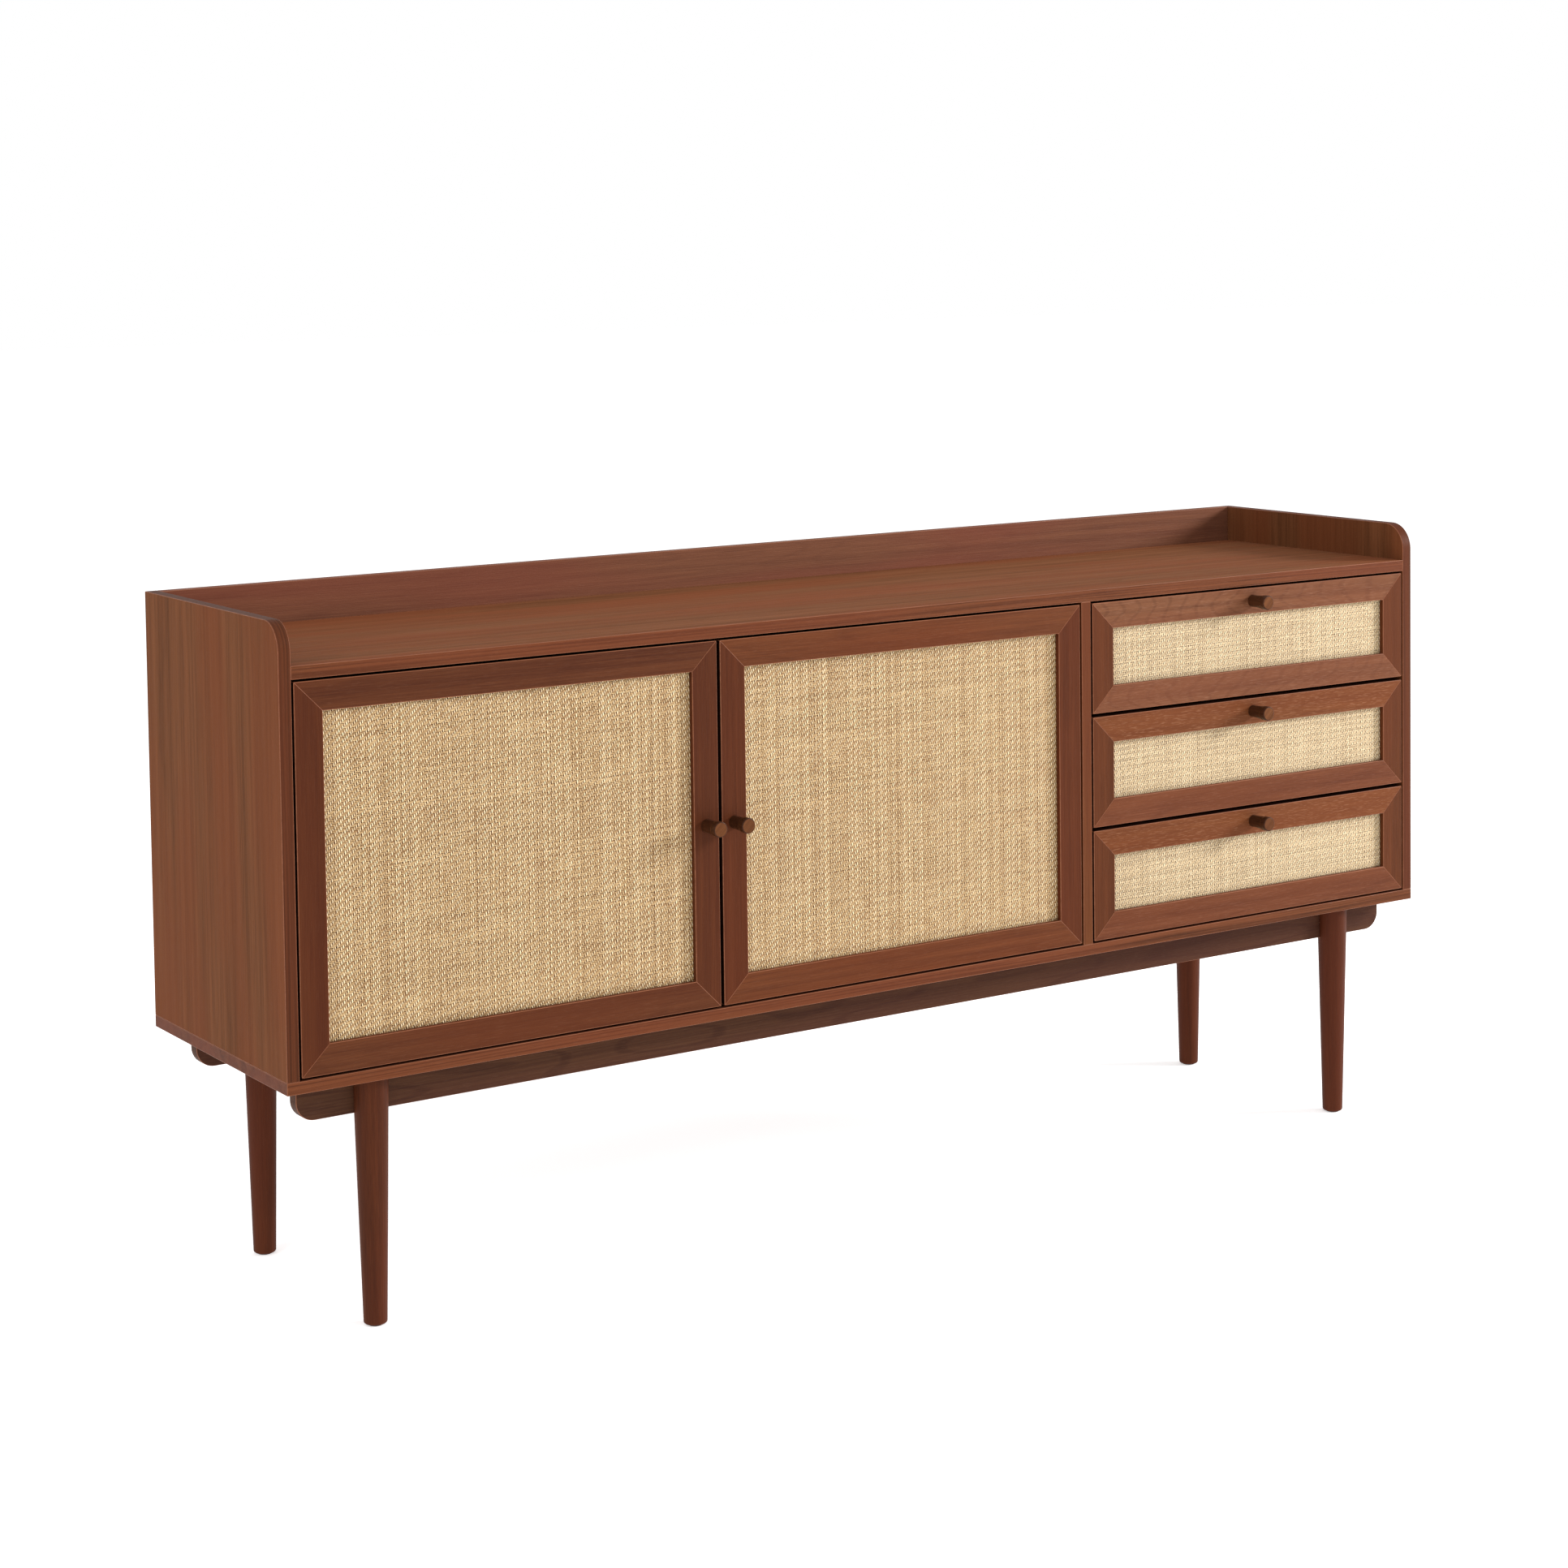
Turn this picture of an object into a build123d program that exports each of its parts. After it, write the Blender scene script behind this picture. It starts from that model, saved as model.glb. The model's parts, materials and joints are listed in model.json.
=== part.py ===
from build123d import *
import os

# A sideboard on four turned legs: two inset doors and three inset drawers, each a mitred
# frame round a rattan panel, under a top that is fenced by a low gallery at its ends and back.
# X runs along the width, the front faces -Y and Z is up. The origin is on the floor, in the
# middle of the sideboard's whole footprint, knobs included.

# Carcass
carcass_w = 1800.0
carcass_d = 400.0
overall_h = 860.0
leg_h = 305.0
gallery_h = 52.0
gallery_corner_r = 36.0
panel_t = 16.0
base_t = 15.0
back_t = 5.0
back_rabbet = 8.0

# Gaps round the doors and drawers
reveal = 3.0
door_gap = 5.0
drawer_gap = 5.0

# Mitred frames and what they hold
frame_w = 36.5
door_t = 18.0
rattan_recess = 7.2
rattan_t = 2.2
backing_t = 4.0
rebate_w = 8.0
rebate_clearance = 0.5

# Drawer boxes and runners
front_board_t = 12.0
box_wall_t = 12.0
box_lift = 18.0
box_headroom = 24.0
box_back_gap = 33.6
box_bottom_t = 5.0
box_groove_depth = 5.0
box_groove_lift = 8.0
runner_space = 12.7
runner_setback = 4.0
runner_end_gap = 6.0
channel_h = 45.0
channel_depth = 9.2
slide_h = 34.0
runner_wall = 1.5
runner_clearance = 0.5

# Knobs
knob_reach = 34.0
knob_base_r = 8.4
knob_waist_r = 8.6
knob_lip_r = 10.0
knob_groove_r = 8.6
knob_head_length = 8.0
knob_groove_length = 1.5
knob_chamfer = 0.9
knob_waist_at = 13.5
spigot_r = 4.0
spigot_length = 8.0

# Base frame
apron_h = 46.0
apron_t = 18.0
apron_end_inset = 29.0
apron_corner_r = 24.0
front_apron_inset = 41.0
rear_apron_inset = 44.0
leg_top_r = 21.6
leg_foot_r = 14.4
leg_foot_round = 3.5
leg_end_inset = 124.0
front_leg_inset = 36.0
rear_leg_inset = 42.0
glide_r = 9.0
glide_t = 1.5

# Inside the door bay
partition_clearance = 2.0
shelf_t = 16.0
shelf_setback = 20.0
shelf_clearance = 1.0
pin_r = 2.5
pin_reach = 8.0
pin_web = 2.0
pin_inset = 37.0
pin_pitch = 32.0
pin_rows = 5

# Hinges and catches
cup_r = 12.5
cup_edge = 2.5
cup_depth = 9.5
cup_wall = 1.0
flange_w = 26.0
flange_h = 40.0
flange_t = 1.2
hinge_end_inset = 75.0
hinge_clearance = 1.0
arm_w = 12.0
arm_h = 14.0
arm_length = 50.0
arm_plate_t = 2.0
arm_plate_h = 50.0
arm_plate_length = 30.0
catch_size = (46.0, 14.0, 12.0)
catch_offset = 45.0
strike_size = (30.0, 1.2, 13.0)
strike_drop = 3.0
catch_clearance = 0.3

# Fasteners
bolt_r = 3.0
bolt_head_r = 5.5
bolt_head_t = 4.0
bolt_grip = 15.0
bolt_rows = (14.0, 32.0)
screw_r = 2.5
screw_head_r = 4.5
screw_head_t = 2.5
screw_length = 48.0
panel_screw_inset = 100.0
apron_screw_offset = 74.0
cam_r = 7.5
cam_depth = 12.5
cam_offset = 24.0
cam_inset = 60.0
cam_bolt_r = 3.0
cam_bolt_bite = 8.0

# Levels and faces worked out from the sizes above
back_y = (carcass_d + knob_reach) / 2
face_y = back_y - carcass_d
side_x = carcass_w / 2
inner_x = side_x - panel_t
base_z = leg_h + base_t
table_z = overall_h - gallery_h
ceiling_z = table_z - panel_t
open_h = ceiling_z - base_z
inner_back_y = back_y - back_t
door_back_y = face_y + door_t
drawer_back_y = face_y + rattan_recess + rattan_t + front_board_t

# The doors and drawers are all one width
front_w = (2 * inner_x - panel_t - 4 * reveal - door_gap) / 3
door_h = open_h - 2 * reveal
drawer_h = (open_h - 2 * reveal - 2 * drawer_gap) / 3
box_h = drawer_h - box_lift - box_headroom
box_length = inner_back_y - drawer_back_y - box_back_gap
runner_length = box_length - runner_setback - runner_end_gap
left_door_x = -inner_x + reveal
right_door_x = left_door_x + front_w + door_gap
divider_x = right_door_x + front_w + reveal
drawer_x = divider_x + panel_t + reveal
meeting_x = right_door_x - door_gap / 2
fronts_z = base_z + reveal
leg_x = side_x - leg_end_inset
rail_y = back_y - panel_t

partition_x = (meeting_x - panel_t / 2, meeting_x + panel_t / 2)
partition_y = door_back_y + partition_clearance
shelf_y = (partition_y + shelf_setback, inner_back_y - shelf_clearance)
pin_z = base_z + open_h / 2 - shelf_t / 2 - pin_r
pin_depth = (panel_t - pin_web) / 2
hinge_z = (fronts_z + hinge_end_inset, fronts_z + door_h - hinge_end_inset)

low = (Align.CENTER, Align.CENTER, Align.MIN)


def block(x0, x1, y0, y1, z0, z1):
    """A box between two corners."""
    size = Box(x1 - x0, y1 - y0, z1 - z0)
    return Pos((x0 + x1) / 2, (y0 + y1) / 2, (z0 + z1) / 2) * size


def rod(radius, start, end):
    """A round bar from one point to another."""
    run = Vector(*end) - Vector(*start)
    return Plane(origin=start, z_dir=run) * Cylinder(radius, run.length, align=low)


def save(node, *shapes):
    """Write one node, which may be a group of separate solids."""
    solids = [solid for shape in shapes for solid in shape.solids()]
    export_step(Compound(solids), f"parts/{node}.step")


def cut(shape, cutters):
    for cutter in cutters:
        shape -= cutter
    return shape


# Screws, bolts and cam fittings: each is made once and also cuts its own hole

def base_screw(x, y, z, up):
    """A countersunk screw whose head is flush with the bottom board's face at z."""
    turn = 1 if up else -1
    head = rod(screw_head_r, (x, y, z), (x, y, z + turn * screw_head_t))
    return head + rod(screw_r, (x, y, z), (x, y, z + turn * screw_length))


def base_screws():
    """Screws up into the uprights, and down into the two aprons."""
    front_y, rear_y = face_y + panel_screw_inset, back_y - panel_screw_inset
    uprights = (-side_x + panel_t / 2, meeting_x, divider_x + panel_t / 2, side_x - panel_t / 2)
    aprons = (face_y + front_apron_inset + apron_t / 2, back_y - rear_apron_inset - apron_t / 2)
    beside = [x + apron_screw_offset for x in (-leg_x, meeting_x)]
    beside += [x - apron_screw_offset for x in (divider_x + panel_t / 2, leg_x)]
    screws = []
    for x in uprights:
        for y in (front_y, rear_y):
            screws.append(base_screw(x, y, leg_h, True))
    for x in beside:
        for y in aprons:
            screws.append(base_screw(x, y, base_z, False))
    return screws


def cam_fitting(centre, cam_way, bolt_way, reach):
    """A cam in its bore, and the bolt that it grips, which bites into the next panel."""
    centre, cam_way, bolt_way = Vector(*centre), Vector(*cam_way), Vector(*bolt_way)
    bolt = rod(cam_bolt_r, centre, centre + bolt_way * (reach + cam_bolt_bite))
    cam = rod(cam_r, centre - cam_way * (cam_depth - panel_t / 2), centre + cam_way * panel_t / 2)
    return cam - bolt, bolt


def cam_fittings():
    """Cams under the top against both sides, and in the two uprights against the top."""
    fittings = []
    top_z = table_z - panel_t / 2
    for y in (face_y + cam_inset, back_y - cam_inset):
        for way in (-1, 1):
            place = (way * (inner_x - cam_offset), y, top_z)
            fittings.append(cam_fitting(place, (0, 0, -1), (way, 0, 0), cam_offset))
        for x in (meeting_x, divider_x + panel_t / 2):
            place = (x, y, ceiling_z - cam_offset)
            fittings.append(cam_fitting(place, (-1, 0, 0), (0, 0, 1), cam_offset))
    return fittings


def leg_bolts(x, apron_inner_y, way):
    """The bolts from the apron's inner face into one leg; way is -1 towards the front."""
    bolts = []
    for drop in bolt_rows:
        z = leg_h - drop
        tip = apron_inner_y + way * (apron_t + bolt_grip)
        head_end = apron_inner_y - way * bolt_head_t
        shank = rod(bolt_r, (x, head_end, z), (x, tip, z))
        head = rod(bolt_head_r, (x, head_end, z), (x, apron_inner_y, z))
        bolts.append(head + shank)
    return bolts


# Shelf pins, in rows of holes up the faces of the door bay's uprights

def pin_faces():
    """Each face that carries pins, and the way out of it."""
    return [(-inner_x, 1), (partition_x[0], -1), (partition_x[1], 1), (divider_x, -1)]


def pin_columns():
    return (shelf_y[0] + pin_inset, shelf_y[1] - pin_inset)


def pin_holes(face_x, way):
    holes = []
    for y in pin_columns():
        for row in range(pin_rows):
            z = pin_z + (row - pin_rows // 2) * pin_pitch
            holes.append(rod(pin_r, (face_x, y, z), (face_x - way * pin_depth, y, z)))
    return holes


def shelf_pins():
    pins = []
    for face_x, way in pin_faces():
        for y in pin_columns():
            start = (face_x - way * pin_depth, y, pin_z)
            pins.append(rod(pin_r, start, (face_x + way * pin_reach, y, pin_z)))
    return pins


# Carcass panels

def side_panel(way, cutters):
    """A side stands on the bottom board; its front top corner is round."""
    x0, x1 = sorted((way * inner_x, way * side_x))
    panel = block(x0, x1, face_y, back_y, base_z, overall_h)
    corner = panel.edges().filter_by(Axis.X).sort_by(lambda edge: edge.center().Z - edge.center().Y)
    panel = fillet(corner[-1], gallery_corner_r)
    r0, r1 = sorted((way * inner_x, way * (inner_x + back_rabbet)))
    panel -= block(r0, r1, inner_back_y, back_y, base_z, ceiling_z)
    return cut(panel, cutters)


def apron(y0):
    rail = block(-side_x + apron_end_inset, side_x - apron_end_inset, y0, y0 + apron_t,
                 leg_h - apron_h, leg_h)
    return fillet(rail.edges().filter_by(Axis.Y).group_by(Axis.Z)[0], apron_corner_r)


def leg(x, y, apron_face_y, way):
    """A tapered round leg, cut flat where it laps over the apron's outer face."""
    post = Pos(x, y, glide_t) * Cone(leg_foot_r, leg_top_r, leg_h - glide_t, align=low)
    post = fillet(post.edges().sort_by(Axis.Z)[0], leg_foot_round)
    y0, y1 = sorted((apron_face_y, apron_face_y - way * 2 * leg_top_r))
    return post - block(x - leg_top_r, x + leg_top_r, y0, y1, leg_h - apron_h, leg_h)


def carcass():
    screws = base_screws()
    fittings = cam_fittings()
    cams = [piece for pair in fittings for piece in pair]
    cam_holes = [cam + bolt for cam, bolt in fittings]

    board = block(-side_x, side_x, face_y, back_y, leg_h, base_z)
    save("bottom_board", cut(board, screws))
    for name, way in (("side_left", -1), ("side_right", 1)):
        save(name, side_panel(way, screws + cam_holes + pin_holes(way * inner_x, -way)))
    top = block(-inner_x, inner_x, face_y, rail_y, ceiling_z, table_z)
    save("top_panel", cut(top, cam_holes))
    save("gallery_rail", block(-inner_x, inner_x, rail_y, back_y, ceiling_z, overall_h))

    divider = block(divider_x, divider_x + panel_t, face_y, inner_back_y, base_z, ceiling_z)
    save("divider", cut(divider, screws + cam_holes + pin_holes(divider_x, -1)))
    partition = block(*partition_x, partition_y, inner_back_y, base_z, ceiling_z)
    both_faces = pin_holes(partition_x[0], -1) + pin_holes(partition_x[1], 1)
    save("center_partition", cut(partition, screws + cam_holes + both_faces))

    shelf_z = pin_z + pin_r
    bays = (("shelf_left", -inner_x, partition_x[0]), ("shelf_right", partition_x[1], divider_x))
    for name, x0, x1 in bays:
        save(name, block(x0 + shelf_clearance, x1 - shelf_clearance, *shelf_y,
                         shelf_z, shelf_z + shelf_t))
    save("shelf_pins", *shelf_pins())

    edges = (-inner_x - back_rabbet, meeting_x, divider_x + panel_t / 2, inner_x + back_rabbet)
    save("back_panels", *[block(x0, x1, inner_back_y, back_y, base_z, ceiling_z)
                          for x0, x1 in zip(edges, edges[1:])])
    save("base_screws", *screws)
    save("cam_fittings", *cams)
    return screws


def base_frame(screws):
    """Two aprons, and four legs that lap over their outer faces."""
    faces = {"front": face_y + front_apron_inset, "rear": back_y - rear_apron_inset}
    leg_y = {"front": face_y + front_leg_inset, "rear": back_y - rear_leg_inset}
    bolts, glides = [], []
    for end, way in (("front", -1), ("rear", 1)):
        face = faces[end]
        inner_y = face - way * apron_t
        own_bolts = []
        for hand, side in (("left", -1), ("right", 1)):
            x = side * leg_x
            pair = leg_bolts(x, inner_y, way)
            save(f"leg_{end}_{hand}", cut(leg(x, leg_y[end], face, way), pair))
            own_bolts += pair
            glides.append(Pos(x, leg_y[end], 0) * Cylinder(glide_r, glide_t, align=low))
        save(f"{end}_apron", cut(apron(min(face, inner_y)), own_bolts + screws))
        bolts += own_bolts
    save("leg_bolts", *bolts)
    save("floor_glides", *glides)


# Doors and drawer fronts

def mitred_frame(x, z, width, height, thickness):
    """Four mitred sticks, rebated at the back for the panel they hold."""
    m = frame_w
    outlines = (
        [(0, 0), (width, 0), (width - m, m), (m, m)],
        [(0, height), (m, height - m), (width - m, height - m), (width, height)],
        [(0, 0), (m, m), (m, height - m), (0, height)],
        [(width, 0), (width, height), (width - m, height - m), (width - m, m)],
    )
    edge = m - rebate_w
    rebate = block(edge, width - edge, rattan_recess, thickness, edge, height - edge)
    sticks = []
    for outline in outlines:
        face = Plane.XZ * Polygon(*outline, align=None)
        sticks.append(Pos(x, face_y, z) * (extrude(face, -thickness) - rebate))
    return sticks


def held_panel(x, z, width, height, depth, thickness):
    """A panel that lies in the frame's rebate, depth behind its front face."""
    edge = frame_w - rebate_w + rebate_clearance
    return block(x + edge, x + width - edge, face_y + depth, face_y + depth + thickness,
                 z + edge, z + height - edge)


def knob(x, z):
    """A turned knob with a flared neck, a groove and a flat head, on a glued spigot."""
    lip = knob_reach - knob_head_length - knob_groove_length
    head = knob_reach - knob_head_length
    rim = knob_lip_r - knob_chamfer
    outline = [
        Line((0, -spigot_length), (spigot_r, -spigot_length)),
        Line((spigot_r, -spigot_length), (spigot_r, 0)),
        Line((spigot_r, 0), (knob_base_r, 0)),
        ThreePointArc((knob_base_r, 0), (knob_waist_r, knob_waist_at), (knob_lip_r, lip)),
        Line((knob_lip_r, lip), (knob_groove_r, lip)),
        Line((knob_groove_r, lip), (knob_groove_r, head)),
        Line((knob_groove_r, head), (knob_lip_r, head)),
        Line((knob_lip_r, head), (knob_lip_r, knob_reach - knob_chamfer)),
        Line((knob_lip_r, knob_reach - knob_chamfer), (rim, knob_reach)),
        Line((rim, knob_reach), (0, knob_reach)),
        Line((0, knob_reach), (0, -spigot_length)),
    ]
    profile = Plane.XZ * make_face(outline)
    return Pos(x, face_y, z) * Rot(90, 0, 0) * revolve(profile, Axis.Z)


def hinge_cup(x, z):
    """A cup pressed into the back of the stile, under its screwed flange."""
    inner_r = cup_r - cup_wall
    back = door_back_y + flange_t
    flange = block(x - flange_w / 2, x + flange_w / 2, door_back_y, back,
                   z - flange_h / 2, z + flange_h / 2)
    cup = rod(cup_r, (x, door_back_y - cup_depth, z), (x, door_back_y, z))
    hollow = rod(inner_r, (x, door_back_y - cup_depth + cup_wall, z), (x, back, z))
    return flange + cup - hollow


def hinge_arm(face_x, way, z):
    """The arm and its plate on the upright that the door hangs from."""
    y = door_back_y + flange_t + hinge_clearance
    plate_y = y + arm_length - arm_plate_length
    x0, x1 = sorted((face_x, face_x + way * arm_plate_t))
    plate = block(x0, x1, plate_y, plate_y + arm_plate_length,
                  z - arm_plate_h / 2, z + arm_plate_h / 2)
    a0, a1 = sorted((face_x + way * reveal, face_x + way * (reveal + arm_w)))
    arm = block(a0, a1, y, y + arm_length, z - arm_h / 2, z + arm_h / 2)
    f0, f1 = sorted((face_x + way * arm_plate_t, face_x + way * reveal))
    foot = block(f0, f1, plate_y, plate_y + arm_plate_length, z - arm_h / 2, z + arm_h / 2)
    return plate + arm + foot


def door(name, x, hinge_side, knob_side):
    """One inset door; the sides are -1 for left and 1 for right."""
    middle = x + front_w / 2
    cup_x = middle + hinge_side * (front_w / 2 - cup_edge - cup_r)
    knob_x = middle + knob_side * (front_w / 2 - frame_w / 2)
    pull = knob(knob_x, fronts_z + door_h / 2)
    cups = [hinge_cup(cup_x, z) for z in hinge_z]
    cup_bores = [rod(cup_r, (cup_x, door_back_y - cup_depth, z), (cup_x, door_back_y, z))
                 for z in hinge_z]
    frame = mitred_frame(x, fronts_z, front_w, door_h, door_t)
    save(f"{name}_frame", *[cut(stick, [pull] + cup_bores) for stick in frame])
    save(f"{name}_rattan", held_panel(x, fronts_z, front_w, door_h, rattan_recess, rattan_t))
    depth = rattan_recess + rattan_t
    save(f"{name}_backing", held_panel(x, fronts_z, front_w, door_h, depth, backing_t))
    save(f"{name}_knob", pull)
    save(f"{name}_hinge_cups", *cups)
    w, t, h = strike_size
    strike_x = meeting_x + hinge_side * catch_offset
    strike_z = fronts_z + door_h - strike_drop
    save(f"{name}_strike", block(strike_x - w / 2, strike_x + w / 2, door_back_y,
                                 door_back_y + t, strike_z - h, strike_z))


def door_hardware():
    """The hinge arms and magnetic catches, which stay with the carcass."""
    arms = [hinge_arm(-inner_x, 1, z) for z in hinge_z]
    arms += [hinge_arm(divider_x, -1, z) for z in hinge_z]
    save("hinge_arms", *arms)
    w, d, h = catch_size
    y = door_back_y + strike_size[1] + catch_clearance
    catches = []
    for way in (-1, 1):
        x = meeting_x + way * catch_offset
        catches.append(block(x - w / 2, x + w / 2, y, y + d, ceiling_z - h, ceiling_z))
    save("magnet_catches", *catches)


# Drawers

def runner(face_x, way, y, z, height, depth):
    """A channel section with its web on face_x and its lips standing out along way."""
    x0, x1 = sorted((face_x, face_x + way * depth))
    h0, h1 = sorted((face_x + way * runner_wall, face_x + way * depth))
    outer = block(x0, x1, y, y + runner_length, z - height / 2, z + height / 2)
    return outer - block(h0, h1, y, y + runner_length,
                         z - height / 2 + runner_wall, z + height / 2 - runner_wall)


def drawer(name, z):
    """One drawer, and the two channels that carry it on the carcass."""
    x0, x1 = divider_x + panel_t + runner_space, inner_x - runner_space
    y0, y1 = drawer_back_y, drawer_back_y + box_length
    box_z = z + box_lift
    floor_z = box_z + box_groove_lift
    pull = knob(drawer_x + front_w / 2, z + drawer_h - frame_w / 2)

    frame = mitred_frame(drawer_x, z, front_w, drawer_h, rattan_recess + rattan_t)
    save(f"{name}_frame", *[cut(stick, [pull]) for stick in frame])
    save(f"{name}_rattan",
         held_panel(drawer_x, z, front_w, drawer_h, rattan_recess, rattan_t))
    save(f"{name}_knob", pull)

    floor = block(x0 + box_wall_t - box_groove_depth, x1 - box_wall_t + box_groove_depth,
                  y0 - box_groove_depth, y1, floor_z, floor_z + box_bottom_t)
    save(f"{name}_box_bottom", floor)
    board = block(drawer_x, drawer_x + front_w, y0 - front_board_t, y0, z, z + drawer_h)
    save(f"{name}_front_board", board - floor)
    walls = [block(x0, x0 + box_wall_t, y0, y1, box_z, box_z + box_h),
             block(x1 - box_wall_t, x1, y0, y1, box_z, box_z + box_h)]
    save(f"{name}_box_sides", *[wall - floor for wall in walls])
    save(f"{name}_box_back", block(x0 + box_wall_t, x1 - box_wall_t, y1 - box_wall_t, y1,
                                   floor_z + box_bottom_t, box_z + box_h))

    runner_y = y0 + runner_setback
    runner_z = box_z + box_h / 2
    depth = runner_space - runner_wall - runner_clearance
    save(f"{name}_runners", runner(x0, -1, runner_y, runner_z, slide_h, depth),
         runner(x1, 1, runner_y, runner_z, slide_h, depth))
    return [runner(divider_x + panel_t, 1, runner_y, runner_z, channel_h, channel_depth),
            runner(inner_x, -1, runner_y, runner_z, channel_h, channel_depth)]


os.makedirs("parts", exist_ok=True)
base_frame(carcass())
door("door_left", left_door_x, -1, 1)
door("door_right", right_door_x, 1, -1)
door_hardware()
channels = []
for row, name in enumerate(("drawer_bottom", "drawer_middle", "drawer_top")):
    channels += drawer(name, fronts_z + row * (drawer_h + drawer_gap))
save("runner_channels", *channels)
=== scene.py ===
import bpy
import bmesh
import json
import math
from mathutils import Matrix, Vector

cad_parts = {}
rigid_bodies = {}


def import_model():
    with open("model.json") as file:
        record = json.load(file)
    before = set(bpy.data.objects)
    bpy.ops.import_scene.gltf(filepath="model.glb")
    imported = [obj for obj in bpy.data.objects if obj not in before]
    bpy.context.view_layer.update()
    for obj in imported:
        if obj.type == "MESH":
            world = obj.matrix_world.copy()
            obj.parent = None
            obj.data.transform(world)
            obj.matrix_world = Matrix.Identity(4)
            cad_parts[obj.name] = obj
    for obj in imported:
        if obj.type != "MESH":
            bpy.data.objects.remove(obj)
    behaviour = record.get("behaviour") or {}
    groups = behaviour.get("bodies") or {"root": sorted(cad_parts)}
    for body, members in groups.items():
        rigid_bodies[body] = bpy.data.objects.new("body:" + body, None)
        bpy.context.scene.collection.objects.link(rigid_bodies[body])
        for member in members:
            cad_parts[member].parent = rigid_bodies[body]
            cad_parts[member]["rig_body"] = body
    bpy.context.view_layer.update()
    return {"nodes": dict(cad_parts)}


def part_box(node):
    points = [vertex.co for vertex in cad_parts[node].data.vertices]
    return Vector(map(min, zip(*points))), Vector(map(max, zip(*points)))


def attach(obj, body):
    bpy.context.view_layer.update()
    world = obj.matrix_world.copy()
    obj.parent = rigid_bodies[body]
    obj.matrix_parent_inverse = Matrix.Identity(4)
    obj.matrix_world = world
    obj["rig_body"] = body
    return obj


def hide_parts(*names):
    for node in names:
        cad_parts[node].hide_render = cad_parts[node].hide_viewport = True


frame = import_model()
scene = bpy.context.scene
nodes = frame["nodes"]
fronts = ["door_left", "door_right", "drawer_top", "drawer_middle", "drawer_bottom"]
doors, drawers = fronts[:2], fronts[2:]


def tint(red, green, blue):  # a screen colour, 0 to 255, as the linear colour a shader wants
    part = [c / 255 for c in (red, green, blue)]
    return [c / 12.92 if c < 0.04045 else ((c + 0.055) / 1.055) ** 2.4 for c in part] + [1.0]


class Wire:  # an output socket that can be used in sums
    def __init__(self, tree, socket):
        self.tree, self.socket = tree, socket

    def other(self, name):  # another output of the same node
        return Wire(self.tree, self.socket.node.outputs[name])

    def calc(self, operation, *terms):
        return self.tree.add("ShaderNodeMath", {"operation": operation}, dict(enumerate(terms)))

    def __add__(self, term):
        return self.calc("ADD", self, term)

    def __radd__(self, term):
        return self.calc("ADD", term, self)

    def __sub__(self, term):
        return self.calc("SUBTRACT", self, term)

    def __rsub__(self, term):
        return self.calc("SUBTRACT", term, self)

    def __mul__(self, term):
        return self.calc("MULTIPLY", self, term)

    def __truediv__(self, term):
        return self.calc("DIVIDE", self, term)

    def __gt__(self, term):
        return self.calc("GREATER_THAN", self, term)

    def sine(self):
        return self.calc("SINE", self)

    def clamped(self, low, high):  # 0 at low, 1 at high
        return self.tree.add("ShaderNodeMapRange", {"interpolation_type": "SMOOTHSTEP"},
                             {"Value": self, "From Min": low, "From Max": high})


class Tree:  # a shader's or a modifier's node tree
    def __init__(self, tree):
        self.tree = tree
        tree.nodes.clear()

    def add(self, kind, settings={}, inputs={}, output=0):
        node = self.tree.nodes.new(kind)
        for name, value in settings.items():
            if name == "stops":
                ramp = node.color_ramp.elements
                while len(ramp) < len(value):
                    ramp.new(1.0)
                for stop, (place, colour) in zip(ramp, value):
                    stop.position, stop.color = place, colour
            else:
                setattr(node, name, value)
        for name, value in inputs.items():
            if isinstance(value, Wire):
                self.tree.links.new(value.socket, node.inputs[name])
            else:
                node.inputs[name].default_value = value
        return Wire(self, node.outputs[output]) if len(node.outputs) else None

    def vector(self, operation, *terms):
        return self.add("ShaderNodeVectorMath", {"operation": operation}, dict(enumerate(terms)))

    def mix(self, factor, first, second):  # 6, 7 and 2 are the node's colour sockets
        return self.add("ShaderNodeMix", {"data_type": "RGBA"},
                        {0: factor, 6: first, 7: second}, output=2)

    def noise(self, place, scale=1.0, detail=2.0, roughness=0.5):
        return self.add("ShaderNodeTexNoise", {},
                        {"Vector": place, "Scale": scale, "Detail": detail, "Roughness": roughness})

    def stretched(self, place, scale, detail=2.0, roughness=0.5):  # noise with a scale for each axis
        return self.noise(self.vector("MULTIPLY", place, scale), detail=detail, roughness=roughness)

    def split(self, place, axis):
        return self.add("ShaderNodeSeparateXYZ", {}, {0: place}, output=axis)

    def join(self, **parts):
        return self.add("ShaderNodeCombineXYZ", {}, parts)

    def spot(self):  # where on its own object a point is
        return self.add("ShaderNodeTexCoord", output="Object")

    def attribute(self, name):
        return self.add("ShaderNodeAttribute", {"attribute_name": name}, output="Fac")


def newFinish(name):
    material = bpy.data.materials.new(name)
    material.use_nodes = True
    return material, Tree(material.node_tree)


def shade(tree, colour, roughness, bump=None, depth=0.0, fixed={}):  # fixed: one value all over
    inputs = {"Base Color": colour, "Roughness": roughness}
    if bump is not None:
        inputs["Normal"] = tree.add("ShaderNodeBump", {},
                                    {"Height": bump, "Strength": 1.0, "Distance": depth})
    inputs.update(fixed)
    surface = tree.add("ShaderNodeBsdfPrincipled", {}, inputs)
    tree.add("ShaderNodeOutputMaterial", {}, {"Surface": surface})


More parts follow.
